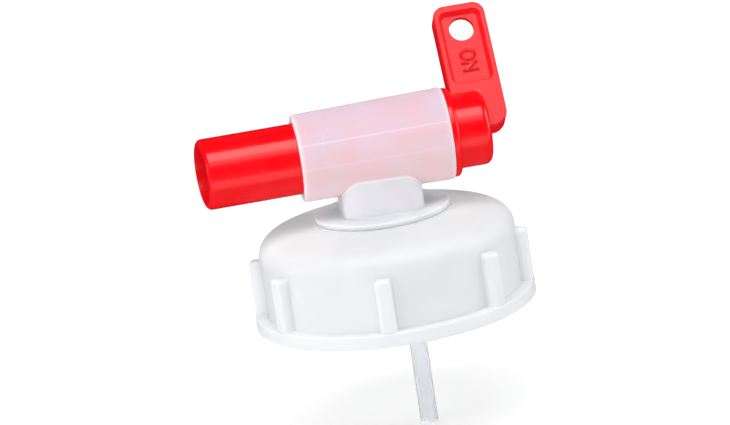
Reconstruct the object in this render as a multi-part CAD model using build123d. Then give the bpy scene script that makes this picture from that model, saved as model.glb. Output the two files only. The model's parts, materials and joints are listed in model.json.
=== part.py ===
from build123d import *
from math import cos, radians, sin
import os

# Jerrycan tap: a screw cap for a coarse-threaded canister neck, with a swivelling tap body that
# carries a hollow taper plug. Spout, plug, hub and lever are one red moulding that turns in the
# barrel, and a vent tube hangs from the tap body into the canister.
#
# Lengths in mm, angles in degrees. The origin lies on the cap's axis, on the sealing face that
# presses on the canister's rim. +Z points out of the canister and the spout points along -X.

# Screw cap
seat_depth = 15.8        # from the open rim up to the sealing face
dome_h = 24.5            # from the open rim to the dome's upper edge
seat_r = 17.2            # raised seat that carries the tap body
seat_h = 0.35
flange_r = 35.0
flange_h = 3.4
skirt_r = 31.95
shoulder_h = 21.15       # height above the rim at which skirt and dome would meet
shoulder_fillet = 5.2
dome_top_r = 17.4
dome_bulge = 0.75
roof_wall = 2.2
skirt_wall = 1.85        # down to the root of the thread
gasket_ledge = 5.8       # width of the ledge that the gasket lies against
edge_round = 0.4         # small outer edges of all mouldings

# Grip ribs
rib_front_angle = -11.0  # of the rib nearest the front, from -Y towards +X
rib_step = 51.4          # from the front rib and the back rib to their neighbours
rib_out = 2.85           # how far a rib stands out of the skirt
rib_w = 4.5
rib_top_h = 16.7         # above the rim
rib_draft = 6.0
rib_round = 1.15

# Gasket and swivel seal
gasket_t = 2.5
gasket_clear = 0.2
seal_r = 12.0            # mid radius of the swivel seal
seal_w = 2.0
seal_groove = 0.8

# Tap body
collar_r = 16.85
collar_t = 1.25
collar_gap = 0.1         # running gap between collar and cap
neck_x = 20.1
neck_y = 18.8
neck_corner = 4.7
neck_foot_round = 0.4
axis_h = 15.7            # barrel axis above the collar's top
barrel_x0 = -19.05       # spout end
barrel_x1 = 18.65        # lever end
barrel_r0 = 10.9
barrel_r1 = 11.5
barrel_wall = 1.85
stub_r = 9.0
stub_drop = 5.0          # length of the stub below the cap's roof
swivel_clear = 0.15      # radial, stub in the cap's hole
bead_out = 0.7           # snap bead that holds the stub in the cap
bead_h = 1.4

# Passages in the tap body
liquid_x = -3.4
liquid_r = 4.2
vent_x = 4.1
vent_r = 1.45
socket_depth = 7.0

# Vent tube
tube_r = 2.175
tube_fit = 0.03
tube_below_rim = 30.2

# Plug, spout and hub
plug_clear = 0.08        # radial, taper plug in the barrel
plug_end_gap = 0.1       # between the plug's flange and the barrel's end
spout_r = 8.8
spout_wall = 1.8
spout_len = 23.8         # beyond the barrel's end, along the axis
spout_rim_round = 1.2
mouth_slant = 6.4        # of the spout's mouth from square
mouth_side = 9.0         # direction of its short side as shown, from -Y towards +Z
plug_wall = 2.4
plug_bore_end = 3.4      # how far the bore runs on beyond the vent port
port_r = 4.0
snap_x = 5.0             # of the snap bead, from the barrel's spout end
snap_w = 1.8
snap_out = 0.25
plug_flange_r = 11.1
plug_flange_t = 1.8
plug_flange_round = 1.2  # on the side of the hub
hub_r = 9.3
hub_len = 8.2
hub_round = 2.0

# Lever
lean = 33.0              # of the lever from upright towards +Y, as shown
open_lean = 90.0         # lever lies back when the port faces the neck
lever_gap = 0.5          # between the plug's flange and the lever's edge
lever_w = 13.05
lever_t = 6.4
lever_reach = 32.0       # from the barrel axis to the free end
lever_tail = 1.3         # beyond the axis on the other side
lever_corner = 3.0       # at the free end
lever_root_corner = 4.0  # below the hub's end
lever_edge = 0.5
recess_start = 10.8      # from the barrel axis
recess_side = 1.25       # rim left beside the recess
recess_end_rim = 1.7     # rim left at the free end
recess_depth = 1.6
recess_corner = 1.9
recess_slope = 28.0
core_depth = 3.2         # the back is cored out deeper than the front
core_slope = 5.0
lever_hole_r = 3.1
lever_hole_x = 6.6       # of the hole's centre from the lever's inner edge
lever_hole_from_end = 6.2

# Levels and radii that follow from the sizes above
rim_z = -seat_depth
dome_z = rim_z + dome_h
top_z = dome_z + seat_h
shoulder_z = rim_z + shoulder_h
flange_z = rim_z + flange_h
roof_z = dome_z - roof_wall
dome_slope = (dome_z - shoulder_z) / (skirt_r - dome_top_r)
bore_r = skirt_r - skirt_wall
ledge_r = bore_r - gasket_ledge
hole_r = stub_r + swivel_clear
collar_z = top_z + collar_gap
collar_top_z = collar_z + collar_t
axis_z = collar_top_z + axis_h
stub_z = roof_z - stub_drop
barrel_len = barrel_x1 - barrel_x0
flange_x0 = barrel_x1 + plug_end_gap
flange_x1 = flange_x0 + plug_flange_t
hub_x1 = flange_x1 + hub_len
tip_x = barrel_x0 - spout_len
mouth_far_x = tip_x - spout_r * sin(radians(mouth_slant)) - 1
mouth_box = 3 * spout_r
lever_x0 = flange_x1 + lever_gap
lever_x1 = lever_x0 + lever_w
bore_r0 = barrel_r0 - barrel_wall
bore_r1 = barrel_r1 - barrel_wall


def bore_at(x):
    """Radius of the barrel's taper bore at x."""
    return bore_r0 + (bore_r1 - bore_r0) * (x - barrel_x0) / barrel_len


def ring(outer, inner, bottom, height):
    """A flat ring about the cap's axis."""
    disc = Circle(outer) - Circle(inner)
    return extrude(Pos(0, 0, bottom) * disc, amount=height)


def upright_hole(x, radius, bottom, top):
    """A round passage parallel to the cap's axis."""
    return Pos(x, 0, bottom) * extrude(Circle(radius), amount=top - bottom)


def rounded(outline, corner, radius):
    """Rounds the corner of a flat outline that lies nearest to a point."""
    vertex = outline.vertices().sort_by_distance((corner[0], corner[1], 0))[0]
    return fillet(vertex, radius)


def outlined(*points):
    """A flat face inside a closed run of points."""
    return make_face(Polyline(*points, close=True))


def about_cap(outline):
    """Turns an outline of (radius, z) about the cap's axis."""
    return revolve(Plane.XZ * outline, Axis.Z)


def about_barrel(outline):
    """Turns an outline of (x, radius) about the barrel's axis."""
    return Pos(0, 0, axis_z) * revolve(outline, Axis.X)


# Screw cap: the wall is turned about Z, from the thread side round the outside to the roof
outside = Polyline(
    (bore_r, rim_z),
    (flange_r, rim_z),
    (flange_r, flange_z),
    (skirt_r, flange_z),
    (skirt_r, shoulder_z),
)
dome = SagittaArc((skirt_r, shoulder_z), (dome_top_r, dome_z), -dome_bulge)
inside = Polyline(
    (dome_top_r, dome_z),
    (seat_r, dome_z),
    (seat_r, top_z),
    (hole_r, top_z),
    (hole_r, roof_z),
    (dome_top_r, roof_z),
    (ledge_r, roof_z - (ledge_r - dome_top_r) * dome_slope),
    (ledge_r, gasket_t),
    (bore_r, gasket_t),
    (bore_r, rim_z),
)
wall = make_face(outside + dome + inside)
wall = rounded(wall, (skirt_r, shoulder_z), shoulder_fillet)
wall = rounded(wall, (flange_r, flange_z), edge_round)
wall = rounded(wall, (flange_r, rim_z), edge_round)
screw_cap = about_cap(wall)

# One grip rib, drafted on its sides and rounded over, then eight of them round the skirt: one at
# each quarter, and one on either side of the front rib and the back rib
rib_foot = skirt_r - (skirt_r - bore_r) / 2
rib_h = rib_top_h - flange_h
rib_half = rib_w / 2
rib_tip = rib_half - rib_out * sin(radians(rib_draft))
rib_plan = outlined(
    (rib_foot, -rib_half),
    (skirt_r + rib_out, -rib_tip),
    (skirt_r + rib_out, rib_tip),
    (rib_foot, rib_half),
)
rib = extrude(Pos(0, 0, flange_z) * rib_plan, amount=rib_h)
rib_sides = rib.edges().filter_by(Axis.Z).sort_by(Axis.X)[-2:]
rib_rim = rib.faces().sort_by(Axis.Z)[-1].edges().sort_by(Axis.X)[1:]
rib = fillet(rib_sides + rib_rim, rib_round)
for quarter in (0, 90, 180, 270):
    screw_cap += Rot(0, 0, rib_front_angle + quarter) * rib
for side in (rib_step, -rib_step, 180 + rib_step, 180 - rib_step):
    screw_cap += Rot(0, 0, rib_front_angle - 90 + side) * rib

# Gasket against the ledge, and the seal between collar and cap
neck_gasket = ring(bore_r - gasket_clear, ledge_r, 0, gasket_t)
swivel_seal = ring(seal_r + seal_w / 2, seal_r - seal_w / 2, top_z, collar_gap + seal_groove)

# Tap body: stub with its snap bead, collar, neck and barrel
stub = about_cap(outlined(
    (0, stub_z),
    (stub_r - edge_round, stub_z),
    (stub_r, stub_z + edge_round),
    (stub_r, roof_z - collar_gap - bead_h),
    (stub_r + bead_out, roof_z - collar_gap - bead_h / 2),
    (stub_r + bead_out, roof_z - collar_gap),
    (stub_r, roof_z - collar_gap),
    (stub_r, collar_z),
    (0, collar_z),
))
collar = extrude(Pos(0, 0, collar_z) * Circle(collar_r), amount=collar_t)
collar = fillet(collar.edges().sort_by(Axis.Z)[-1], edge_round)
collar -= ring(seal_r + seal_w / 2, seal_r - seal_w / 2, collar_z, seal_groove)
neck_plan = RectangleRounded(neck_x, neck_y, neck_corner)
neck = extrude(Pos(0, 0, collar_z) * neck_plan, amount=axis_z - collar_z)
neck -= Pos(0, 0, collar_z) * extrude(Circle(seal_r + seal_w / 2), amount=seal_groove)
barrel_outline = outlined(
    (barrel_x0, 0),
    (barrel_x0, barrel_r0),
    (barrel_x1, barrel_r1),
    (barrel_x1, 0),
)
barrel_outline = rounded(barrel_outline, (barrel_x0, barrel_r0), edge_round)
barrel_outline = rounded(barrel_outline, (barrel_x1, barrel_r1), edge_round)
barrel = about_barrel(barrel_outline)
taper_bore = about_barrel(outlined(
    (barrel_x0, 0),
    (barrel_x0, bore_r0),
    (barrel_x1, bore_r1),
    (barrel_x1, 0),
))
groove_x = barrel_x0 + snap_x
groove = about_barrel(outlined(
    (groove_x - snap_w, 0),
    (groove_x - snap_w, bore_at(groove_x - snap_w)),
    (groove_x - snap_w / 2, bore_at(groove_x) + snap_out),
    (groove_x + snap_w / 2, bore_at(groove_x) + snap_out),
    (groove_x + snap_w, bore_at(groove_x + snap_w)),
    (groove_x + snap_w, 0),
))
tap_body = stub + collar + neck + barrel
collar_level = tap_body.edges().filter_by_position(Axis.Z, collar_top_z - 0.01, collar_top_z + 0.01)
tap_body = fillet(collar_level.sort_by(SortBy.LENGTH)[:-1], neck_foot_round)
tap_body -= taper_bore
tap_body -= groove
tap_body -= upright_hole(liquid_x, liquid_r, stub_z, axis_z)
tap_body -= upright_hole(vent_x, vent_r, stub_z, axis_z)
socket_top = stub_z + socket_depth
tap_body -= upright_hole(vent_x, tube_r + tube_fit, stub_z, socket_top)

# Vent tube, pushed up to the shoulder in its socket
tube_z = rim_z - tube_below_rim
vent_tube = upright_hole(vent_x, tube_r, tube_z, socket_top)
vent_tube -= upright_hole(vent_x, vent_r, tube_z, socket_top)

# Plug, spout, flange and hub, turned about the barrel's axis
plug_outline = outlined(
    (mouth_far_x, 0),
    (mouth_far_x, spout_r),
    (barrel_x0, spout_r),
    (barrel_x0, bore_r0 - plug_clear),
    (groove_x - snap_w / 2, bore_at(groove_x - snap_w / 2) - plug_clear),
    (groove_x - snap_w / 4, bore_at(groove_x) - plug_clear + snap_out),
    (groove_x + snap_w / 4, bore_at(groove_x) - plug_clear + snap_out),
    (groove_x + snap_w / 2, bore_at(groove_x + snap_w / 2) - plug_clear),
    (flange_x0, bore_at(flange_x0) - plug_clear),
    (flange_x0, plug_flange_r),
    (flange_x1, plug_flange_r),
    (flange_x1, hub_r),
    (hub_x1, hub_r),
    (hub_x1, 0),
)
plug_outline = rounded(plug_outline, (flange_x1, plug_flange_r), plug_flange_round)
plug_outline = rounded(plug_outline, (hub_x1, hub_r), hub_round)
turned = about_barrel(plug_outline)

# The spout's mouth is cut at a slant, and its outer edge is rounded
mouth = Pos(tip_x, 0, axis_z) * Rot(-mouth_side, 0, 0) * Rot(0, 0, mouth_slant)
turned -= mouth * Box(mouth_box, mouth_box, mouth_box, align=(Align.MAX, Align.CENTER, Align.CENTER))
turned = fillet(turned.faces().sort_by(Axis.X)[0].edges(), spout_rim_round)

# Lever: a flat plate in a plane that leans back, recessed on its front and cored on its back
lever_plane = Plane(
    origin=(0, 0, axis_z),
    x_dir=(1, 0, 0),
    z_dir=(0, -cos(radians(lean)), sin(radians(lean))),
)
plate_outline = outlined(
    (lever_x0, -lever_tail),
    (lever_x1, -lever_tail),
    (lever_x1, lever_reach),
    (lever_x0, lever_reach),
)
plate_outline = rounded(plate_outline, (lever_x0, lever_reach), lever_corner)
plate_outline = rounded(plate_outline, (lever_x1, lever_reach), lever_corner)
plate_outline = rounded(plate_outline, (lever_x1, -lever_tail), lever_root_corner)
plate = extrude(Pos(0, 0, -lever_t / 2) * plate_outline, amount=lever_t)
plate_faces = plate.faces().sort_by(Axis.Z)
plate = fillet(plate_faces[0].edges() + plate_faces[-1].edges(), lever_edge)
recess_len = lever_reach - recess_end_rim - recess_start
recess_plan = RectangleRounded(lever_w - 2 * recess_side, recess_len, recess_corner)
recess_plan = Pos((lever_x0 + lever_x1) / 2, recess_start + recess_len / 2) * recess_plan
recess = extrude(Pos(0, 0, lever_t / 2) * recess_plan, amount=-recess_depth, taper=recess_slope)
core = extrude(Pos(0, 0, -lever_t / 2) * recess_plan, amount=core_depth, taper=core_slope)
lever_hole = extrude(Circle(lever_hole_r), amount=lever_t)
lever_hole = Pos(lever_x0 + lever_hole_x, lever_reach - lever_hole_from_end, -lever_t / 2) * lever_hole
plug_lever = turned + lever_plane * plate
plug_lever -= lever_plane * recess
plug_lever -= lever_plane * core
plug_lever -= lever_plane * lever_hole

# Passages in the plug: the spout's bore, a narrower bore inside the barrel, and the two ports
spout_bore = about_barrel(outlined(
    (mouth_far_x, 0),
    (mouth_far_x, spout_r - spout_wall),
    (barrel_x0, spout_r - spout_wall),
    (barrel_x0, 0),
))
plug_bore_r = bore_r0 - plug_clear - plug_wall
bore_x1 = vent_x + vent_r + plug_bore_end
plug_bore = about_barrel(outlined(
    (barrel_x0, 0),
    (barrel_x0, plug_bore_r),
    (bore_x1, plug_bore_r),
    (bore_x1, 0),
))
port_angle = radians(180 + lean - open_lean)
port_way = (0, sin(port_angle), cos(port_angle))
liquid_port = Plane(origin=(liquid_x, 0, axis_z), x_dir=(1, 0, 0), z_dir=port_way) * extrude(
    Circle(port_r), amount=bore_r1)
vent_port = Plane(origin=(vent_x, 0, axis_z), x_dir=(1, 0, 0), z_dir=port_way) * extrude(
    Circle(vent_r), amount=bore_r1)
plug_lever -= spout_bore
plug_lever -= plug_bore
plug_lever -= liquid_port
plug_lever -= vent_port

os.makedirs("parts", exist_ok=True)
pieces = {
    "screw_cap": screw_cap,
    "neck_gasket": neck_gasket,
    "tap_body": tap_body,
    "swivel_seal": swivel_seal,
    "vent_tube": vent_tube,
    "plug_lever": plug_lever,
}
for name, piece in pieces.items():
    export_step(piece, "parts/" + name + ".step")
    print(name, "solids", len(piece.solids()), "volume", round(piece.volume, 1))
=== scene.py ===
import json
from math import cos, radians, sin

import bmesh
import bpy
from mathutils import Matrix, Vector

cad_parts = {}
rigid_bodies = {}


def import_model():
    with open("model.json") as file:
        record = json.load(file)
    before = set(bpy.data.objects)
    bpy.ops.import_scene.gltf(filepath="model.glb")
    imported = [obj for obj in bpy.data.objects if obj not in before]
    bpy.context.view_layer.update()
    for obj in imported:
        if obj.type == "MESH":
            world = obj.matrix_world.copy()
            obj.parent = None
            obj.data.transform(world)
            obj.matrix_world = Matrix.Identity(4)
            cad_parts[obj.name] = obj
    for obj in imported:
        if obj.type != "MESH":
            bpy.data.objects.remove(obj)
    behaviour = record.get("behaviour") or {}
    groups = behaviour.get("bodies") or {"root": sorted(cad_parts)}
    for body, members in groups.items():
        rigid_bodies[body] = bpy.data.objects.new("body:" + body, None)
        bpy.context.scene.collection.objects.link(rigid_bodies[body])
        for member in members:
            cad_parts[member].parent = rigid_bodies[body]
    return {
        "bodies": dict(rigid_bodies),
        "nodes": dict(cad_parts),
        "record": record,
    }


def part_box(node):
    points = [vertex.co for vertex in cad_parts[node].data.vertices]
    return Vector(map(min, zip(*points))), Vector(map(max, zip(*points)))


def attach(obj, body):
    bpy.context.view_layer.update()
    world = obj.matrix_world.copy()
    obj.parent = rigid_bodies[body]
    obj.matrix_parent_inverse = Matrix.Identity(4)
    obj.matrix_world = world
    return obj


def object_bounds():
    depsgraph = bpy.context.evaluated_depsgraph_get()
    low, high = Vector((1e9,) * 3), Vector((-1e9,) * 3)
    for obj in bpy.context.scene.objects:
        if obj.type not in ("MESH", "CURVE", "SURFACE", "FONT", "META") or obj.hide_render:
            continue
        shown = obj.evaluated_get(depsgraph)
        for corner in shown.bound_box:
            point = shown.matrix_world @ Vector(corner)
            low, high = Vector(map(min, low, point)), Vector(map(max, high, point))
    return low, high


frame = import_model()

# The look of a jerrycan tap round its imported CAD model: a white screw cap, a milky tap body, a
# glossy red plug with spout and lever, and a clear vent tube. Lengths are in metres and angles in
# degrees, unless a comment says radians. Colours are linear. A pair of roughness values is for the
# glossiest and the dullest patches of a surface, and a pair of tones for the ends of its colour.

MM = 0.001
MERGE_WITHIN = 0.001 * MM

# Camera, as fitted to the photograph
CAM_AZIMUTH = -6.3
CAM_ELEVATION = 14.05
CAM_ROLL = -8.42
CAM_DISTANCE = 1.0
CAM_LENS = 199.73
CAM_SENSOR = 36.0
CAM_TARGET = Vector((0, 0, 14.2 * MM))
CAM_SLIDE_RIGHT = -3.605 * MM
CAM_SLIDE_UP = -5.05 * MM

# Thread of the canister neck, and how it ends
THREAD_PITCH = 6.0 * MM
THREAD_DEPTH = 1.5 * MM
THREAD_ROOT_W = 3.0 * MM
THREAD_CREST_W = 1.3 * MM
THREAD_ROUNDING = 0.3           # of the crest's width
THREAD_INTO_WALL = 0.1 * MM
THREAD_MARGIN = 1.0 * MM
THREAD_RUN_OUT = 0.08           # of its length, at each end
THREAD_TIP = 0.02               # of its full section, at the very end
THREAD_STEPS = 120
THREAD_ROUND_STEPS = 4
THREAD_SHARP_OVER = 40

# Raised lettering in the lever's recesses
LETTER_LENGTH = 5.8 * MM
LETTER_HEIGHT = 4.2 * MM
LETTER_SPACING = 1.08
LETTER_BOLD = 0.016             # of the letters' height, added all round
LETTER_RAISED = 0.45 * MM
LETTER_SUNK = 0.05 * MM
LETTER_FACE = 0.8 * MM          # floor of a recess from the middle of the web
LETTER_FROM_HOLE = 8.55 * MM
LETTER_INWARDS = -0.04 * MM     # towards the barrel
LETTER_STEPS = 6

# Moulded skin: how its fine grain and the slow waves of the flow add up
SKIN_WAVES = 1.2                # height of the waves over that of the grain
SKIN_GRAIN_SHARE = 0.35         # of the patches of gloss, the rest is the flow's
SKIN_GLOSS_RANGE = (0.32, 0.68)
SKIN_TONE_RANGE = (0.3, 0.7)
SKIN_BUMP = 0.6

# Handling scuffs: fine lines in two directions, in patches
SCUFF_TURNS = ((0.5, 0.3, 0.9), (-0.7, 1.1, -0.4))      # radians
SCUFF_STRETCH = (1.0, 0.09, 0.09)
SCUFF_W = 0.012
SCUFF_PATCHES = 60.0            # to the metre
SCUFF_PATCH_RANGE = (0.5, 0.66)
SCUFF_ROUGHER = 0.16
SCUFF_ROUGHER_ON_RED = 0.15

# The plastics as they show to each other. Their bounced light is whitened, because the red tints
# the parts beside it hardly at all, and the pale ones are dark in the red's gloss, as the room is.
RED_BLEED_LESS = 0.95
RED_BOUNCE = (0.85, 0.80, 0.81, 1)
PALE_BOUNCE_WHITER = 0.8
PALE_BOUNCE = (0.96, 0.96, 0.96, 1)
PALE_GLOSS_DARKER = 0.85
PALE_IN_GLOSS = (0.05, 0.05, 0.05, 1)

# White plastic of the cap. Beyond the radius below lie only the ribs and the flange, which are
# painted whiter: painted light.
CAP_ROUGH = (0.38, 0.48)
CAP_TONES = ((0.758, 0.761, 0.774, 1), (0.782, 0.784, 0.792, 1))
CAP_PAINTED_LIGHT = (0.815, 0.819, 0.840, 1)
CAP_SCUFFED = (0.72, 0.72, 0.74, 1)
CAP_PAINTED_LIGHT_R = 33.2 * MM
CAP_PAINTED_LIGHT_FADE = 0.6 * MM

# Milky plastic of the tap body: pink on the barrel, where the plug shows through, and lavender on
# the neck and the collar. The barrel's warm and cool patches each have a colour low and high on it,
# paler low down as painted light from below and darker high up as painted shade.
BODY_ROUGH = (0.40, 0.52)
BARREL_WARM = ((0.99, 0.630, 0.640, 1), (0.79, 0.530, 0.600, 1))
BARREL_COOL = ((0.97, 0.670, 0.715, 1), (0.74, 0.565, 0.665, 1))
BARREL_END_HIGHLIGHT = (0.95, 0.78, 0.84, 1)
BARREL_REFLECTION_LINE = (0.97, 0.82, 0.88, 1)
NECK_TONES = ((0.732, 0.716, 0.754, 1), (0.763, 0.752, 0.787, 1))
NECK_JOIN_HIGHLIGHT = (0.95, 0.90, 0.93, 1)
BODY_SCUFFED = (0.90, 0.84, 0.88, 1)

# Barrel, for those colours: outer radii at its ends, pale bands there that are painted highlights,
# painted reflections as pale lines along it, each with its angle from the front and its strength,
# and a pale line where the neck begins that is a painted highlight
BARREL_R0 = 10.9 * MM
BARREL_R1 = 11.5 * MM
BARREL_HALF = 11 * MM
BARREL_END_HIGHLIGHT_W = 1.4 * MM
BARREL_END_HIGHLIGHT_STRENGTH = 0.6
BARREL_REFLECTION_LINES = ((27, 0.45), (-4.5, 0.22), (118, 0.4), (171, 0.25))
BARREL_REFLECTION_LINE_W = 2.2
BARREL_SKIN = (0.05 * MM, 0.45 * MM)        # out of its wall, where its colour ends
NECK_JOIN_HIGHLIGHT_OUT = 0.4 * MM
NECK_JOIN_HIGHLIGHT_W = 0.35 * MM
NECK_JOIN_HIGHLIGHT_STRENGTH = 0.7

# Red plastic: glossy on plug, spout and hub, finely eroded and duller on the lever, whose paler
# tones are partly painted sheen
RED_ROUGH = (0.16, 0.21)
RED_TONES = ((0.95, 0.0008, 0.0050, 1), (0.98, 0.0012, 0.0065, 1))
RED_SCUFFED = (0.95, 0.05, 0.06, 1)
RED_RELIEF = 0.12               # of the lever's relief
LEVER_ROUGH = (0.68, 0.80)
LEVER_TONES_AND_SHEEN = ((0.86, 0.034, 0.040, 1), (0.93, 0.056, 0.062, 1))

# Lever: its matt faces lie beyond the flange and outside the glossy hub. Heights are from its
# plane.
LEVER_X0 = 21.05 * MM
LEVER_FACE = 3.2 * MM
LEVER_FACE_FADE = (0.3 * MM, 0.1 * MM)      # below the face
LEVER_FLAT = (0.93, 0.99)                   # how squarely a face looks along the hole, 1 is fully
RECESS_FLOOR = 1.6 * MM
RECESS_FADE = (0.05 * MM, 0.2 * MM)         # above the floor
HUB_R = 9.35 * MM
HUB_FADE = 0.2 * MM
HUB_X1 = 28.8 * MM

# Clear plastic of the vent tube, and black rubber of the seals
TUBE_ROUGH = (0.19, 0.25)
TUBE_TONES = ((0.950, 0.962, 1.0, 1), (0.965, 0.975, 1.0, 1))
SEAL_ROUGH = (0.55, 0.75)
SEAL_TONES = ((0.018, 0.018, 0.020, 1), (0.038, 0.038, 0.040, 1))

# Room round the object: plain light, but dark in the gloss of the plastic
ROOM_TINT = (0.96, 0.98, 1.0, 1)
ROOM_LIGHT = 0.27
ROOM_IN_GLOSS = 0.012

# Floor: pale for the light that it throws back. The camera sees a grey that takes the shadow and
# has a light of its own, least near the object, so that it ends in white.
FLOOR_HALF = 3.0
FLOOR_GAP = 0.2 * MM
FLOOR_PALE = (0.95, 0.95, 0.95, 1)
FLOOR_IN_GLOSS = (0.015, 0.015, 0.015, 1)
FLOOR_SEEN = (0.5, 0.5, 0.5, 1)
FLOOR_LIFT = (0.58, 1.0)
FLOOR_LIFT_OVER = (0.2, 0.9)    # distances from the object

# Bench: in the gloss of the plastic, the floor is a pale strip in front, from BENCH_FAR to
# BENCH_NEAR along Y. It dims to a trace under the object and ends behind it.
BENCH_FAR = -0.25
BENCH_NEAR = -0.10
BENCH_SOFT = 0.03
BENCH_UNDER = 0.07

# Lamps: name, azimuth, elevation, distance, width, height, watts, and whether the gloss shows them
LAMPS = (
    ("softbox above the front", -6, 65, 1.2, 1.35, 0.60, 9.7, True),
    ("softbox's faint lower edge", -6, 43, 1.2, 1.35, 0.28, 1.5, True),
    ("fill from the left", -70, 16, 1.4, 0.9, 1.1, 6.8, False),
    ("fill from behind left", -165, 30, 1.3, 1.0, 0.9, 4.4, False),
    ("fill from behind right", 135, 40, 1.3, 1.0, 0.9, 2.0, False),
    ("light into the mouth", -97, 6, 1.2, 0.25, 0.3, 1.1, True),
    ("fill from the right", 84, 14, 1.5, 0.9, 1.1, 7.8, True),
)


def clear_startup():
    """Removes what Blender's own start-up file holds."""
    own = set(frame["nodes"].values()) | set(frame["bodies"].values())
    for thing in list(bpy.data.objects):
        if thing not in own:
            bpy.data.objects.remove(thing)


clear_startup()
cad_low, cad_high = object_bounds()
record = frame["record"]
joints = {joint["name"]: joint for joint in record["behaviour"]["joints"]}
mounts = {mount["name"]: mount for mount in record["mounts"]}
axis_z = joints["plug_turn"]["pos_m"][2]
barrel_x0, barrel_x1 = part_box("tap_body")[0].x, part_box("tap_body")[1].x


# Small helpers for objects and node trees

def new_object(name, data):
    """A new object in the scene."""
    made = bpy.data.objects.new(name, data)
    bpy.context.scene.collection.objects.link(made)
    return made


def empty_tree(owner):
    """The node tree of a material or a world, with no nodes in it."""
    owner.use_nodes = True
    owner.node_tree.nodes.clear()
    return owner.node_tree


def feed(tree, value, socket):
    """Links another node's output to a socket, or sets the socket to a plain value."""
    if isinstance(value, bpy.types.NodeSocket):
        tree.links.new(value, socket)
    else:
        socket.default_value = value


def node(tree, kind, inputs=None, **settings):
    """Adds a node. inputs maps a socket's name or number to a value or to another node's output."""
    made = tree.nodes.new(kind)
    for name, value in settings.items():
        setattr(made, name, value)
    for key, value in (inputs or {}).items():
        feed(tree, value, made.inputs[key])
    return made


def maths(tree, operation, first, second=0.0, third=0.0, clamp=False):
    """The output of one Math node."""
    return node(tree, "ShaderNodeMath", {0: first, 1: second, 2: third},
                operation=operation, use_clamp=clamp).outputs[0]


def times(tree, first, second):
    """The product of two values."""
    return maths(tree, "MULTIPLY", first, second)


def apart(tree, first, second):
    """How far two values are apart."""
    return maths(tree, "ABSOLUTE", maths(tree, "SUBTRACT", first, second))


def radius(tree, first, second):
    """The distance from an axis, from the two distances across it."""
    squares = maths(tree, "MULTIPLY_ADD", first, first, times(tree, second, second))
    return maths(tree, "SQRT", squares)


def between(tree, value, low, high, to_low=0.0, to_high=1.0, ends="SMOOTHSTEP"):
    """Maps value from low..high to to_low..to_high, in a straight line if ends is LINEAR."""
    return node(tree, "ShaderNodeMapRange", {
        "Value": value, "From Min": low, "From Max": high, "To Min": to_low, "To Max": to_high,
    }, interpolation_type=ends).outputs["Result"]


def mixed(tree, factor, first, second):
    """Mixes two colours."""
    sockets = {0: factor, 6: first, 7: second}
    return node(tree, "ShaderNodeMix", sockets, data_type="RGBA").outputs[2]


def split(tree, vector):
    """The three parts of a vector."""
    return node(tree, "ShaderNodeSeparateXYZ", {0: vector}).outputs


def light_path(tree):
    """What kind of ray asks for a colour."""
    return tree.nodes.new("ShaderNodeLightPath").outputs


def shader_group(name, inputs, outputs):
    """An empty shader node group with named sockets."""
    tree = bpy.data.node_groups.new(name, "ShaderNodeTree")
    for label, kind, value in inputs:
        socket = tree.interface.new_socket(name=label, in_out="INPUT", socket_type=kind)
        if value is not None:
            socket.default_value = value
    for label in outputs:
        tree.interface.new_socket(name=label, in_out="OUTPUT", socket_type="NodeSocketFloat")
    return tree, tree.nodes.new("NodeGroupInput").outputs, tree.nodes.new("NodeGroupOutput").inputs


# Shared effects

def moulded_skin_group():
    """The skin of an injection moulding: fine grain, slow waves, and uneven gloss and tone."""
    tree, given, result = shader_group("moulded skin", [
        ("Position", "NodeSocketVector", None),
        ("Grain size", "NodeSocketFloat", 0.3 * MM),
        ("Flow size", "NodeSocketFloat", 9 * MM),
    ], ["Height", "Gloss", "Tone"])
    grain = node(tree, "ShaderNodeTexNoise", {
        "Vector": given["Position"], "Scale": maths(tree, "DIVIDE", 1.0, given["Grain size"]),
        "Detail": 3.0, "Roughness": 0.6,
    }).outputs["Fac"]
    flow = node(tree, "ShaderNodeTexNoise", {
        "Vector": given["Position"], "Scale": maths(tree, "DIVIDE", 1.0, given["Flow size"]),
        "Detail": 2.0, "Roughness": 0.45, "Distortion": 0.6,
    }).outputs["Fac"]
    feed(tree, maths(tree, "ADD", grain, times(tree, flow, SKIN_WAVES)), result["Height"])
    patches = maths(tree, "MULTIPLY_ADD", grain, SKIN_GRAIN_SHARE,
                    times(tree, flow, 1.0 - SKIN_GRAIN_SHARE))
    feed(tree, between(tree, patches, *SKIN_GLOSS_RANGE), result["Gloss"])
    feed(tree, between(tree, flow, *SKIN_TONE_RANGE), result["Tone"])
    return tree


def scuffs_group():
    """Hair-fine handling scratches in two directions, as a mask."""
    tree, given, result = shader_group("handling scuffs", [
        ("Position", "NodeSocketVector", None),
        ("Spacing", "NodeSocketFloat", 1.6 * MM),
        ("Amount", "NodeSocketFloat", 0.5),
    ], ["Mask"])
    lines = []
    for turn in SCUFF_TURNS:
        turned = node(tree, "ShaderNodeMapping", {
            "Vector": given["Position"], "Rotation": turn, "Scale": SCUFF_STRETCH,
        })
        streaks = node(tree, "ShaderNodeTexNoise", {
            "Vector": turned.outputs["Vector"],
            "Scale": maths(tree, "DIVIDE", 1.0, given["Spacing"]),
            "Detail": 2.0, "Distortion": 0.25,
        })
        off_centre = apart(tree, streaks.outputs["Fac"], 0.5)
        lines.append(between(tree, off_centre, 0.0, SCUFF_W, 1.0, 0.0))
    patches = node(tree, "ShaderNodeTexNoise", {
        "Vector": given["Position"], "Scale": SCUFF_PATCHES, "Detail": 1.0,
    })
    where = between(tree, patches.outputs["Fac"], *SCUFF_PATCH_RANGE)
    both = times(tree, maths(tree, "MAXIMUM", *lines), where)
    feed(tree, maths(tree, "MULTIPLY", both, given["Amount"], clamp=True), result["Mask"])
    return tree


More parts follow.
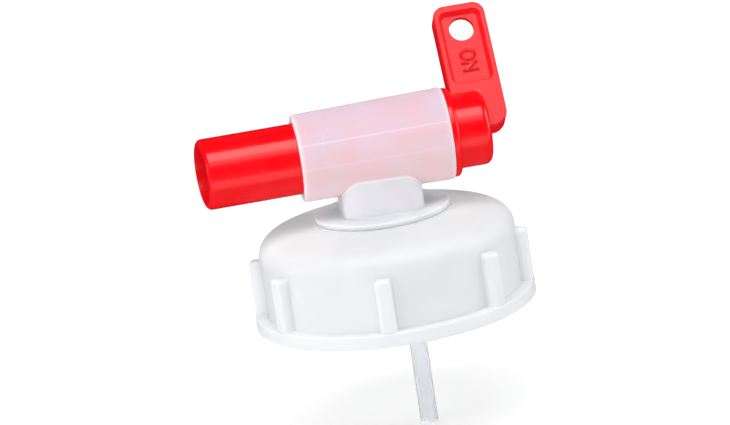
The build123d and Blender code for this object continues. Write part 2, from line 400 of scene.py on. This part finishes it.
def barrel_place_group():
    """Where a point lies about the barrel: distance from the axis, height above it, place along it,
    the angle in radians from the front towards the top, and height out of the lever's plane."""
    tree, given, result = shader_group("barrel place", [
        ("Position", "NodeSocketVector", None),
        ("Axis height", "NodeSocketFloat", axis_z),
    ], ["Radius", "Height", "Along", "Angle", "Proud"])
    parts = split(tree, given["Position"])
    height = maths(tree, "SUBTRACT", parts["Z"], given["Axis height"])
    feed(tree, radius(tree, height, parts["Y"]), result["Radius"])
    feed(tree, height, result["Height"])
    feed(tree, parts["X"], result["Along"])
    forwards = times(tree, parts["Y"], -1.0)
    feed(tree, maths(tree, "ARCTAN2", height, forwards), result["Angle"])
    outwards = mounts["lever_hole"]["axis"]
    proud = maths(tree, "MULTIPLY_ADD", height, outwards[2], times(tree, parts["Y"], outwards[1]))
    feed(tree, proud, result["Proud"])
    return tree


skin_group = moulded_skin_group()
scuff_group = scuffs_group()
place_group = barrel_place_group()


def grouped(tree, group, inputs):
    """The outputs of a shared effect, placed with its own values."""
    return node(tree, "ShaderNodeGroup", inputs, node_tree=group).outputs


def new_material(name):
    """An empty material with its Principled shader and Object coordinates."""
    material = bpy.data.materials.new(name)
    tree = empty_tree(material)
    shader = tree.nodes.new("ShaderNodeBsdfPrincipled")
    node(tree, "ShaderNodeOutputMaterial", {"Surface": shader.outputs[0]})
    place = tree.nodes.new("ShaderNodeTexCoord").outputs["Object"]
    return material, tree, shader, place


def same_all_over(shader, values):
    """Sets the shader's own sockets for what doesn't vary over the surface."""
    for name, value in values.items():
        shader.inputs[name].default_value = value


def bumpy(tree, shader, height, relief):
    """Gives a shader a bump map. relief is the depth that a height of 1 stands for."""
    bump = node(tree, "ShaderNodeBump", {
        "Height": height, "Distance": relief, "Strength": SKIN_BUMP,
    })
    feed(tree, bump.outputs["Normal"], shader.inputs["Normal"])


def dress(tree, shader, place, rough, grain, flow, relief, scuffs):
    """Gives a shader the moulded skin and scuffs. Returns the skin's tone and the scuffs' mask."""
    skin = grouped(tree, skin_group, {"Position": place, "Grain size": grain, "Flow size": flow})
    scratches = grouped(tree, scuff_group, {"Position": place, "Amount": scuffs})
    spread = between(tree, skin["Gloss"], 0.0, 1.0, *rough)
    worn = maths(tree, "MULTIPLY_ADD", scratches["Mask"], SCUFF_ROUGHER, spread, clamp=True)
    feed(tree, worn, shader.inputs["Roughness"])
    bumpy(tree, shader, skin["Height"], relief)
    return skin["Tone"], scratches["Mask"]


def by_rays(tree, colour):
    """A pale colour as it shows to each kind of ray: as it is to the camera, whiter in the light
    that it throws on its neighbours, and darker in their gloss."""
    rays = light_path(tree)
    bounced = times(tree, rays["Is Diffuse Ray"], PALE_BOUNCE_WHITER)
    mirrored = times(tree, rays["Is Glossy Ray"], PALE_GLOSS_DARKER)
    return mixed(tree, mirrored, mixed(tree, bounced, colour, PALE_BOUNCE), PALE_IN_GLOSS)


# Materials

def white_cap_plastic():
    """White polyethylene of the screw cap: satin, faintly waxy, a little cooler in its patches."""
    material, tree, shader, place = new_material("white cap plastic")
    tone, scratches = dress(tree, shader, place, CAP_ROUGH,
                            grain=0.35 * MM, flow=11 * MM, relief=0.006 * MM, scuffs=0.12)
    parts = split(tree, place)
    # Ribs and flange painted whiter than the rest of the cap: painted light.
    ribs_painted_light = between(tree, radius(tree, parts["X"], parts["Y"]),
                    CAP_PAINTED_LIGHT_R - CAP_PAINTED_LIGHT_FADE, CAP_PAINTED_LIGHT_R)
    colour = mixed(tree, tone, *CAP_TONES)
    colour = mixed(tree, ribs_painted_light, colour, CAP_PAINTED_LIGHT)
    colour = mixed(tree, scratches, colour, CAP_SCUFFED)
    feed(tree, by_rays(tree, colour), shader.inputs["Base Color"])
    same_all_over(shader, {
        "Specular IOR Level": 0.35, "Subsurface Weight": 0.25,
        "Subsurface Radius": (1.0, 0.97, 0.95), "Subsurface Scale": 2.0 * MM,
    })
    return material


def barrel_colour(tree, tone, where):
    """The barrel's pink, painted paler low and darker high as light and shade, with painted
    highlights as pale bands at its ends and painted reflections as pale lines along it.
    """
    # Paler low on the barrel and darker high up: painted light and painted shade.
    painted_shade_rise = between(tree, where["Height"], -BARREL_HALF, BARREL_HALF)
    colour = mixed(tree, tone, mixed(tree, painted_shade_rise, *BARREL_WARM), mixed(tree, painted_shade_rise, *BARREL_COOL))
    # Pale bands at the barrel's ends: painted highlights of their rounded edges.
    ends = maths(
        tree, "MAXIMUM",
        between(tree, where["Along"], barrel_x0, barrel_x0 + BARREL_END_HIGHLIGHT_W, 1.0, 0.0),
        between(tree, where["Along"], barrel_x1 - BARREL_END_HIGHLIGHT_W, barrel_x1, 0.0, 1.0))
    colour = mixed(tree, times(tree, ends, BARREL_END_HIGHLIGHT_STRENGTH), colour, BARREL_END_HIGHLIGHT)
    # Pale lines along the barrel at fixed angles: painted reflections.
    for angle, strength in BARREL_REFLECTION_LINES:
        off = apart(tree, where["Angle"], radians(angle))
        painted_reflection = between(tree, off, 0.0, radians(BARREL_REFLECTION_LINE_W), strength, 0.0)
        colour = mixed(tree, painted_reflection, colour, BARREL_REFLECTION_LINE)
    return colour


def milky_body_plastic():
    """Unpigmented polyethylene of the tap body. The red plug shows through the barrel as pink."""
    material, tree, shader, place = new_material("milky body plastic")
    tone, scratches = dress(tree, shader, place, BODY_ROUGH,
                            grain=0.4 * MM, flow=8 * MM, relief=0.004 * MM, scuffs=0.12)
    where = grouped(tree, place_group, {"Position": place})
    taper = between(tree, where["Along"], barrel_x0, barrel_x1, BARREL_R0, BARREL_R1, "LINEAR")
    beyond = maths(tree, "SUBTRACT", where["Radius"], taper)
    on_barrel = between(tree, beyond, *BARREL_SKIN, 1.0, 0.0)
    # Pale line where the neck meets the barrel: a painted highlight.
    neck_join_highlight = between(tree, apart(tree, beyond, NECK_JOIN_HIGHLIGHT_OUT), 0.0, NECK_JOIN_HIGHLIGHT_W, NECK_JOIN_HIGHLIGHT_STRENGTH, 0.0)
    colour = mixed(tree, on_barrel,
                   mixed(tree, tone, *NECK_TONES), barrel_colour(tree, tone, where))
    colour = mixed(tree, neck_join_highlight, colour, NECK_JOIN_HIGHLIGHT)
    colour = mixed(tree, scratches, colour, BODY_SCUFFED)
    feed(tree, by_rays(tree, colour), shader.inputs["Base Color"])
    same_all_over(shader, {
        "Specular IOR Level": 0.2, "Subsurface Weight": 0.6,
        "Subsurface Radius": (1.0, 0.75, 0.8), "Subsurface Scale": 4.0 * MM,
    })
    return material


def lever_mask(tree, where):
    """1 on the lever's flat faces and on its recesses' floors, 0 on the glossy rest of the plug."""
    outwards = mounts["lever_hole"]["axis"]
    normal = tree.nodes.new("ShaderNodeTexCoord").outputs["Normal"]
    square_on = node(tree, "ShaderNodeVectorMath", {0: normal, 1: outwards},
                     operation="DOT_PRODUCT").outputs["Value"]
    flat = between(tree, maths(tree, "ABSOLUTE", square_on), *LEVER_FLAT)
    inside = times(tree, flat, maths(tree, "GREATER_THAN", where["Along"], LEVER_X0))
    outside = maths(
        tree, "MAXIMUM",
        between(tree, where["Radius"], HUB_R, HUB_R + HUB_FADE),
        maths(tree, "GREATER_THAN", where["Along"], HUB_X1))
    face = [LEVER_FACE - fade for fade in LEVER_FACE_FADE]
    floor = [RECESS_FLOOR + fade for fade in RECESS_FADE]
    faces = maths(
        tree, "MAXIMUM",
        between(tree, where["Proud"], *face), between(tree, where["Proud"], *floor, 1.0, 0.0))
    return times(tree, times(tree, inside, outside), faces)


def red_plug_plastic():
    """Glossy red plastic of plug, spout and hub, with a finely eroded, duller skin on the lever,
    whose paler colour is partly painted sheen.
    """
    material, tree, shader, place = new_material("red plug plastic")
    skin = grouped(tree, skin_group, {
        "Position": place, "Grain size": 0.25 * MM, "Flow size": 7 * MM,
    })
    scratches = grouped(tree, scuff_group, {"Position": place, "Amount": 0.12})["Mask"]
    lever = lever_mask(tree, grouped(tree, place_group, {"Position": place}))
    gloss = between(tree, skin["Gloss"], 0.0, 1.0, *RED_ROUGH)
    dull = between(tree, skin["Gloss"], 0.0, 1.0, *LEVER_ROUGH)
    both = node(tree, "ShaderNodeMix", {0: lever, 2: gloss, 3: dull}).outputs[0]
    worn = maths(tree, "MULTIPLY_ADD", scratches, SCUFF_ROUGHER_ON_RED, both, clamp=True)
    feed(tree, worn, shader.inputs["Roughness"])
    height = times(tree, skin["Height"], between(tree, lever, 0.0, 1.0, RED_RELIEF, 1.0))
    bumpy(tree, shader, height, relief=0.02 * MM)
    # The lever's paler tones: its own eroded red plus a painted sheen.
    colour = mixed(tree, lever, mixed(tree, skin["Tone"], *RED_TONES),
                   mixed(tree, skin["Gloss"], *LEVER_TONES_AND_SHEEN))
    colour = mixed(tree, scratches, colour, RED_SCUFFED)
    bounced = times(tree, light_path(tree)["Is Diffuse Ray"], RED_BLEED_LESS)
    feed(tree, mixed(tree, bounced, colour, RED_BOUNCE), shader.inputs["Base Color"])
    same_all_over(shader, {"Specular IOR Level": 0.5})
    return material


def clear_tube_plastic():
    """Clear, slightly blue tube plastic with a faintly uneven skin."""
    material, tree, shader, place = new_material("clear tube plastic")
    tone, _ = dress(tree, shader, place, TUBE_ROUGH,
                    grain=0.3 * MM, flow=6 * MM, relief=0.001 * MM, scuffs=0.1)
    feed(tree, mixed(tree, tone, *TUBE_TONES), shader.inputs["Base Color"])
    same_all_over(shader, {"Transmission Weight": 0.90, "IOR": 1.45})
    return material


def seal_rubber():
    """Black rubber of the gasket and the swivel seal, dusty in its grain."""
    material, tree, shader, place = new_material("seal rubber")
    tone, _ = dress(tree, shader, place, SEAL_ROUGH,
                    grain=0.25 * MM, flow=5 * MM, relief=0.03 * MM, scuffs=0.8)
    feed(tree, mixed(tree, tone, *SEAL_TONES), shader.inputs["Base Color"])
    return material


finishes = {
    "white_cap": white_cap_plastic(),
    "clear_body": milky_body_plastic(),
    "red_plug": red_plug_plastic(),
    "clear_tube": clear_tube_plastic(),
    "gasket": seal_rubber(),
}
for part in record["subparts"]:
    mesh = frame["nodes"][part["node"]].data
    for index in range(len(mesh.materials)):
        mesh.materials[index] = finishes[part["material_slot"]]


# Pieces that the CAD leaves to this script

def plain_mesh(source, name):
    """A new object with the evaluated mesh of source, which is then removed."""
    bpy.context.view_layer.update()
    depsgraph = bpy.context.evaluated_depsgraph_get()
    mesh = bpy.data.meshes.new_from_object(source.evaluated_get(depsgraph))
    mesh.name = name
    bpy.data.objects.remove(source)
    return new_object(name, mesh)


def soft_shading(piece, sharp_over):
    """Smooth shading that keeps edges over an angle in degrees sharp."""
    work = bmesh.new()
    work.from_mesh(piece.data)
    bmesh.ops.remove_doubles(work, verts=work.verts, dist=MERGE_WITHIN)
    bmesh.ops.recalc_face_normals(work, faces=work.faces)
    for face in work.faces:
        face.smooth = True
    for edge in work.edges:
        edge.smooth = len(edge.link_faces) == 2 and edge.calc_face_angle() < radians(sharp_over)
    work.to_mesh(piece.data)
    work.free()


def thread_tree(material):
    """Geometry Nodes for a thread in a bore: a rounded ridge on a spiral, faded at its ends."""
    tree = bpy.data.node_groups.new("thread in a bore", "GeometryNodeTree")
    tree.interface.new_socket(name="Geometry", in_out="OUTPUT", socket_type="NodeSocketGeometry")
    sizes = ("Root radius", "Pitch", "Turns", "Depth", "Root width", "Crest width",
             "Start height", "Run-out")
    for label in sizes:
        tree.interface.new_socket(name=label, in_out="INPUT", socket_type="NodeSocketFloat")
    given = tree.nodes.new("NodeGroupInput").outputs
    result = tree.nodes.new("NodeGroupOutput").inputs

    spiral = node(tree, "GeometryNodeCurveSpiral", {
        "Resolution": THREAD_STEPS, "Rotations": given["Turns"],
        "Start Radius": given["Root radius"], "End Radius": given["Root radius"],
        "Height": times(tree, given["Pitch"], given["Turns"]), "Reverse": False,
    })
    upright = node(tree, "GeometryNodeSetCurveNormal", {"Curve": spiral.outputs["Curve"]},
                   mode="Z_UP")
    along = node(tree, "GeometryNodeSplineParameter").outputs["Factor"]
    from_end = maths(tree, "MINIMUM", along, maths(tree, "SUBTRACT", 1.0, along))
    swell = between(tree, from_end, 0.0, given["Run-out"], THREAD_TIP, 1.0)
    sized = node(tree, "GeometryNodeSetCurveRadius", {
        "Curve": upright.outputs["Curve"], "Radius": swell,
    })

    corners = {}
    for number, (width, inwards, side) in enumerate((
        ("Root width", 0.0, -0.5), ("Crest width", given["Depth"], -0.5),
        ("Crest width", given["Depth"], 0.5), ("Root width", 0.0, 0.5),
    ), start=1):
        across = times(tree, given[width], side)
        corner = node(tree, "ShaderNodeCombineXYZ", {"X": inwards, "Y": across})
        corners[f"Point {number}"] = corner.outputs[0]
    ridge = node(tree, "GeometryNodeCurvePrimitiveQuadrilateral", corners, mode="POINTS")
    rounded = node(tree, "GeometryNodeFilletCurve", {
        "Curve": ridge.outputs["Curve"], "Count": THREAD_ROUND_STEPS,
        "Radius": times(tree, given["Crest width"], THREAD_ROUNDING),
    }, mode="POLY")
    swept = node(tree, "GeometryNodeCurveToMesh", {
        "Curve": sized.outputs["Curve"], "Profile Curve": rounded.outputs["Curve"],
        "Fill Caps": True,
    })
    lift = node(tree, "ShaderNodeCombineXYZ", {"Z": given["Start height"]})
    placed = node(tree, "GeometryNodeTransform", {
        "Geometry": swept.outputs["Mesh"], "Translation": lift.outputs[0],
    })
    real = node(tree, "GeometryNodeRealizeInstances", {"Geometry": placed.outputs["Geometry"]})
    finished = node(tree, "GeometryNodeSetMaterial", {
        "Geometry": real.outputs["Geometry"], "Material": material,
    })
    feed(tree, finished.outputs["Geometry"], result["Geometry"])
    return tree


def neck_thread():
    """The coarse thread inside the cap, between its open rim and the gasket."""
    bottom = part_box("screw_cap")[0].z + THREAD_MARGIN + THREAD_ROOT_W / 2
    top = -THREAD_MARGIN - THREAD_ROOT_W / 2
    values = {
        "Root radius": mounts["neck_thread"]["dims"]["r_mm"] * MM + THREAD_INTO_WALL,
        "Pitch": THREAD_PITCH,
        "Turns": (top - bottom) / THREAD_PITCH,
        "Depth": THREAD_DEPTH + THREAD_INTO_WALL,
        "Root width": THREAD_ROOT_W,
        "Crest width": THREAD_CREST_W,
        "Start height": bottom,
        "Run-out": THREAD_RUN_OUT,
    }
    tree = thread_tree(finishes["white_cap"])
    holder = new_object("thread holder", bpy.data.meshes.new("thread holder"))
    modifier = holder.modifiers.new("thread", "NODES")
    modifier.node_group = tree
    for item in tree.interface.items_tree:
        if item.in_out == "INPUT":
            modifier[item.identifier] = values[item.name]
    thread = plain_mesh(holder, "neck_thread")
    soft_shading(thread, THREAD_SHARP_OVER)
    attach(thread, "cap")


def flat_words(name, words):
    """A flat mesh of the words, centred and scaled to the size of the lettering."""
    curve = bpy.data.curves.new(name, "FONT")
    curve.body = words
    curve.align_x, curve.align_y = "CENTER", "CENTER"
    curve.size = 1.0
    curve.space_character = LETTER_SPACING
    curve.offset = LETTER_BOLD
    curve.resolution_u = LETTER_STEPS
    piece = plain_mesh(new_object(name + " text", curve), name)

    xs = [v.co.x for v in piece.data.vertices]
    ys = [v.co.y for v in piece.data.vertices]
    middle = Vector(((min(xs) + max(xs)) / 2, (min(ys) + max(ys)) / 2, 0))
    scale_x = LETTER_LENGTH / (max(xs) - min(xs))
    scale_y = LETTER_HEIGHT / (max(ys) - min(ys))
    piece.data.transform(Matrix.Diagonal((scale_x, scale_y, 1, 1)) @ Matrix.Translation(-middle))
    return piece


def raise_up(mesh, height):
    """Gives a flat mesh in the XY plane a thickness along +Z."""
    work = bmesh.new()
    work.from_mesh(mesh)
    bmesh.ops.remove_doubles(work, verts=work.verts, dist=MERGE_WITHIN)
    raised = bmesh.ops.extrude_face_region(work, geom=work.faces[:])["geom"]
    tops = [v for v in raised if isinstance(v, bmesh.types.BMVert)]
    bmesh.ops.translate(work, verts=tops, vec=(0, 0, height))
    bmesh.ops.recalc_face_normals(work, faces=work.faces)
    work.to_mesh(mesh)
    work.free()


def lettering(name, words, side):
    """Raised letters on the floor of one of the lever's recesses: side 1 in front, -1 behind."""
    outwards = Vector(mounts["lever_hole"]["axis"])
    to_foot = Vector((0, -outwards.z, outwards.y))
    hole = Vector(mounts["lever_hole"]["pos_m"])
    reading, upwards, facing = to_foot, Vector((side, 0, 0)), outwards * side
    centre = hole + to_foot * LETTER_FROM_HOLE + facing * (LETTER_FACE - LETTER_SUNK)
    centre.x -= LETTER_INWARDS

    piece = flat_words(name, words)
    raise_up(piece.data, LETTER_RAISED + LETTER_SUNK)
    turn = Matrix((reading, upwards, facing)).transposed().to_4x4()
    piece.data.transform(Matrix.Translation(centre) @ turn)
    piece.data.materials.append(finishes["red_plug"])
    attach(piece, "plug")


neck_thread()
lettering("lettering_on", "ON", 1)
lettering("lettering_off", "OFF", -1)


# Floor, light and camera

def directions(azimuth, elevation, roll=0.0):
    """Right, up and back of a camera or lamp that looks at the object. Azimuth 0 is the front, at
    -Y, and it grows towards +X."""
    a, e, r = radians(azimuth), radians(elevation), radians(roll)
    back = Vector((sin(a) * cos(e), -cos(a) * cos(e), sin(e)))
    right = Vector((cos(a), sin(a), 0))
    up = back.cross(right)
    return right * cos(r) + up * sin(r), up * cos(r) - right * sin(r), back


def facing_matrix(right, up, back, place):
    """The matrix of an object at place with those axes."""
    return Matrix.Translation(place) @ Matrix((right, up, back)).transposed().to_4x4()


def make_camera():
    """The camera at the photograph's viewing angle."""
    right, up, back = directions(CAM_AZIMUTH, CAM_ELEVATION, CAM_ROLL)
    data = bpy.data.cameras.new("camera")
    data.sensor_width = CAM_SENSOR
    data.lens = CAM_LENS
    camera = new_object("camera", data)
    place = CAM_TARGET + back * CAM_DISTANCE + right * CAM_SLIDE_RIGHT + up * CAM_SLIDE_UP
    camera.matrix_world = facing_matrix(right, up, back, place)
    bpy.context.scene.camera = camera


def soft_lamp(name, azimuth, elevation, distance, width, height, power, in_gloss):
    """An area lamp that looks at the tap."""
    right, up, back = directions(azimuth, elevation)
    data = bpy.data.lights.new(name, "AREA")
    data.shape = "RECTANGLE"
    data.size, data.size_y = width, height
    data.energy = power
    lamp = new_object(name, data)
    lamp.matrix_world = facing_matrix(right, up, back, CAM_TARGET + back * distance)
    lamp.visible_glossy = in_gloss


def background_rays(tree):
    """1 for rays that see the background itself: from the camera, or through clear plastic."""
    rays = light_path(tree)
    return maths(tree, "MAXIMUM", rays["Is Camera Ray"], rays["Is Transmission Ray"])


def make_world():
    """A room that lights the object softly, is dark in its gloss, and is white to the camera."""
    world = bpy.data.worlds.new("studio")
    bpy.context.scene.world = world
    tree = empty_tree(world)
    glossy = light_path(tree)["Is Glossy Ray"]
    strength = between(tree, glossy, 0.0, 1.0, ROOM_LIGHT, ROOM_IN_GLOSS, "LINEAR")
    room = node(tree, "ShaderNodeBackground", {"Color": ROOM_TINT, "Strength": strength})
    white = node(tree, "ShaderNodeBackground", {"Color": (1, 1, 1, 1), "Strength": 1.0})
    choice = node(tree, "ShaderNodeMixShader", {
        0: background_rays(tree), 1: room.outputs[0], 2: white.outputs[0],
    })
    node(tree, "ShaderNodeOutputWorld", {"Surface": choice.outputs[0]})


def floor_material():
    """Pale floor that ends in white to the camera, and is dark in the gloss but for the bench."""
    material = bpy.data.materials.new("pale floor")
    tree = empty_tree(material)
    place = tree.nodes.new("ShaderNodeTexCoord").outputs["Object"]
    depth = split(tree, place)["Y"]
    strip = times(
        tree,
        between(tree, depth, BENCH_FAR - BENCH_SOFT, BENCH_FAR),
        between(tree, depth, BENCH_NEAR, BENCH_NEAR + BENCH_SOFT, 1.0, BENCH_UNDER))
    strip = times(tree, strip, between(tree, depth, 0.0, 2 * BENCH_SOFT, 1.0, 0.0))
    dark = times(tree, light_path(tree)["Is Glossy Ray"], maths(tree, "SUBTRACT", 1.0, strip))
    pale = mixed(tree, dark, FLOOR_PALE, FLOOR_IN_GLOSS)
    matt = node(tree, "ShaderNodeBsdfDiffuse", {"Color": pale})
    distance = node(tree, "ShaderNodeVectorMath", {0: place}, operation="LENGTH").outputs["Value"]
    lift = node(tree, "ShaderNodeEmission", {
        "Color": (1, 1, 1, 1), "Strength": between(tree, distance, *FLOOR_LIFT_OVER, *FLOOR_LIFT),
    })
    seen = node(tree, "ShaderNodeBsdfDiffuse", {"Color": FLOOR_SEEN})
    shown = node(tree, "ShaderNodeAddShader", {0: seen.outputs[0], 1: lift.outputs[0]})
    choice = node(tree, "ShaderNodeMixShader", {
        0: background_rays(tree), 1: matt.outputs[0], 2: shown.outputs[0],
    })
    node(tree, "ShaderNodeOutputMaterial", {"Surface": choice.outputs[0]})
    return material


def make_floor():
    """A pale floor just below the vent tube, wide enough to fill every view from above."""
    half, level = FLOOR_HALF, cad_low.z - FLOOR_GAP
    corners = [(x * half, y * half, level) for x, y in ((-1, -1), (1, -1), (1, 1), (-1, 1))]
    mesh = bpy.data.meshes.new("floor")
    mesh.from_pydata(corners, [], [(0, 1, 2, 3)])
    mesh.materials.append(floor_material())
    floor = new_object("floor", mesh)


make_camera()
make_world()
make_floor()
for lamp in LAMPS:
    soft_lamp(*lamp)

bpy.context.scene.view_settings.view_transform = "Standard"
